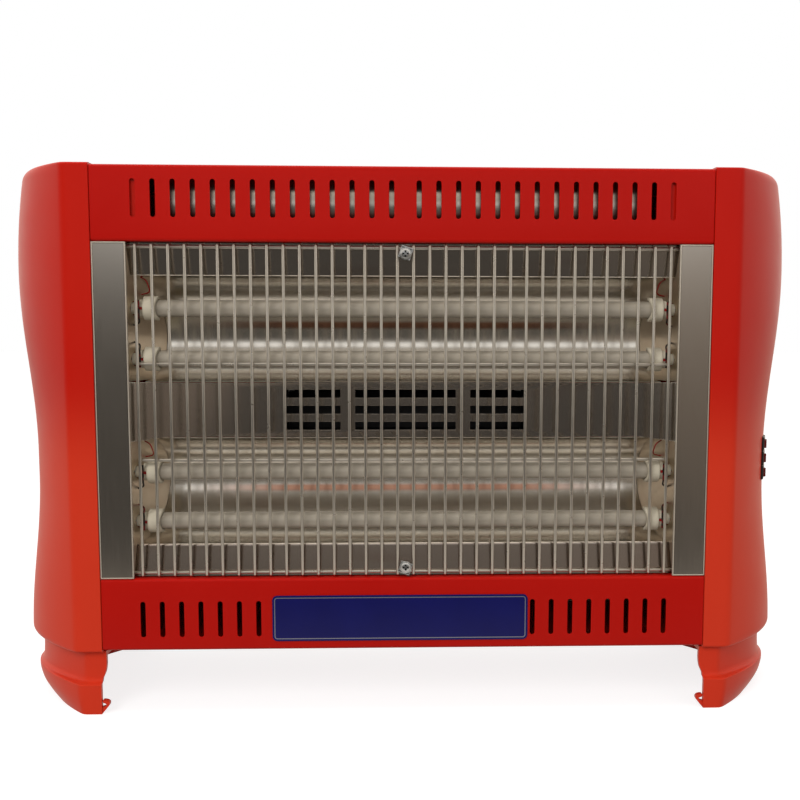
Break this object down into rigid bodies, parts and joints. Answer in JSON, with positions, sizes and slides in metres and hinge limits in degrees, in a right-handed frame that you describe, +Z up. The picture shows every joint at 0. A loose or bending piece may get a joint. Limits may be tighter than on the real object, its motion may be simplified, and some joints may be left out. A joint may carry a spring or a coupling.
{
  "type": "electric quartz heater",
  "caption": "Wide free-standing radiant heater with a red steel body, bulged side caps on plinth feet, quartz tubes in mirrored troughs behind a wire guard, fan vents and rocker switches.",
  "frame": {"origin": "on the floor, below the middle of the heater's bounding box", "axes": "+X to the heater's right seen from its front, along its width; +Y to its back, the radiant window faces -Y; +Z up"},
  "size_m": [0.562, 0.16, 0.3775],
  "materials": {
    "red_painted_steel": "smooth gloss paint",
    "red_plastic": "moulded, soft gloss",
    "stainless_trim": "polished stainless",
    "reflector_mirror": "bright rolled sheet",
    "shield_sheet": "bright sheet",
    "nickel_wire": "plated wire",
    "zinc_screw": "zinc plated",
    "frosted_quartz": "milky quartz",
    "white_ceramic": "unglazed white",
    "resistance_wire": "oxidised wire",
    "galvanised_steel": "galvanised",
    "fan_alloy": "rolled",
    "laminated_core": "laminated steel",
    "motor_winding": "enamelled copper",
    "black_plastic": "moulded",
    "rocker_dark_red": "gloss",
    "blue_plate": "gloss film, left bare"
  },
  "bodies": {
    "case": {"top_cover": "red_painted_steel", "bottom_cover": "red_painted_steel", "back_panel": "red_painted_steel", "left_side_cap": "red_plastic", "right_side_cap": "red_plastic", "left_foot": "red_plastic", "right_foot": "red_plastic", "left_trim_strip": "stainless_trim", "right_trim_strip": "stainless_trim", "upper_reflector": "reflector_mirror", "lower_reflector": "reflector_mirror", "vent_plate": "reflector_mirror", "upper_end_plate_left": "reflector_mirror", "upper_end_plate_right": "reflector_mirror", "lower_end_plate_left": "reflector_mirror", "lower_end_plate_right": "reflector_mirror", "top_heat_shield": "shield_sheet", "guard_grille": "nickel_wire", "grille_clip_top": "zinc_screw", "grille_clip_bottom": "zinc_screw", "grille_screw_top": "zinc_screw", "grille_screw_bottom": "zinc_screw", "back_screw_left_1": "zinc_screw", "back_screw_left_2": "zinc_screw", "back_screw_left_3": "zinc_screw", "back_screw_right_1": "zinc_screw", "back_screw_right_2": "zinc_screw", "back_screw_right_3": "zinc_screw", "quartz_tube_1": "frosted_quartz", "heating_coil_1": "resistance_wire", "ceramic_cap_1_left": "white_ceramic", "ceramic_cap_1_right": "white_ceramic", "quartz_tube_2": "frosted_quartz", "heating_coil_2": "resistance_wire", "ceramic_cap_2_left": "white_ceramic", "ceramic_cap_2_right": "white_ceramic", "quartz_tube_3": "frosted_quartz", "heating_coil_3": "resistance_wire", "ceramic_cap_3_left": "white_ceramic", "ceramic_cap_3_right": "white_ceramic", "quartz_tube_4": "frosted_quartz", "heating_coil_4": "resistance_wire", "ceramic_cap_4_left": "white_ceramic", "ceramic_cap_4_right": "white_ceramic", "terminal_block": "white_ceramic", "fan_housing": "galvanised_steel", "fan_motor": "laminated_core", "motor_winding": "motor_winding", "cord_gland": "black_plastic", "switch_body_1": "black_plastic", "switch_body_2": "black_plastic", "switch_body_3": "black_plastic", "nameplate": "blue_plate"},
    "fan_rotor": {"fan_rotor": "fan_alloy"},
    "rocker_1": {"rocker_1": "rocker_dark_red"},
    "rocker_2": {"rocker_2": "rocker_dark_red"},
    "rocker_3": {"rocker_3": "rocker_dark_red"}
  },
  "joints": [
    {"name": "fan_spin", "type": "hinge", "parent": "case", "child": "fan_rotor", "pos_m": [0, 0.015, 0.2107], "axis": [1, 0, 0], "continuous": true},
    {"name": "rocker_1_tilt", "type": "hinge", "parent": "case", "child": "rocker_1", "pos_m": [0.26379, -0.02744, 0.18345], "axis": [0, 0, 1], "range_deg": [-20, 0]},
    {"name": "rocker_2_tilt", "type": "hinge", "parent": "case", "child": "rocker_2", "pos_m": [0.26379, -0.02744, 0.1728], "axis": [0, 0, 1], "range_deg": [-20, 0]},
    {"name": "rocker_3_tilt", "type": "hinge", "parent": "case", "child": "rocker_3", "pos_m": [0.26379, -0.02744, 0.16215], "axis": [0, 0, 1], "range_deg": [-20, 0]}
  ]
}
